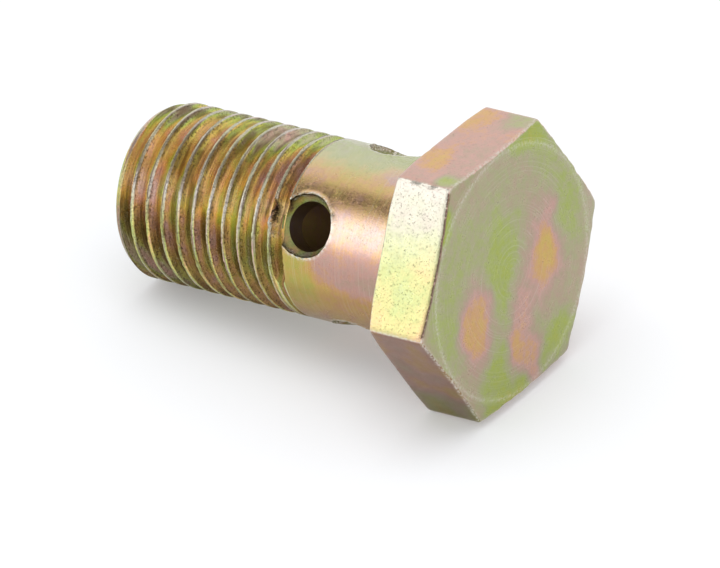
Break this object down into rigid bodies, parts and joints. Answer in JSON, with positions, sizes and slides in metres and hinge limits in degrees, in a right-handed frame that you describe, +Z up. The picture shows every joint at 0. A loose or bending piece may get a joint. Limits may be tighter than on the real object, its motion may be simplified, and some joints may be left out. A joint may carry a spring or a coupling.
{
  "type": "banjo bolt",
  "caption": "Hexagon head banjo bolt: hollow threaded shank with staggered cross holes that carries fluid from a banjo fitting into the threaded port it clamps to",
  "frame": {"origin": "centre of the bearing face under the head, on the bolt's axis", "axes": "+X runs from the tip towards the head, along the level direction under the bolt's axis, which rises about 7 degrees towards the head as the bolt lies at rest. +Z is up, and one flat of the hexagon faces down."},
  "size_m": [0.0321, 0.022, 0.0194],
  "materials": {
    "plated_steel": "yellow passivated zinc plating with pink, green and brown interference tints, satin on turned faces and bright on the flats"
  },
  "bodies": {
    "root": {"banjo_bolt": "plated_steel"}
  },
  "joints": []
}
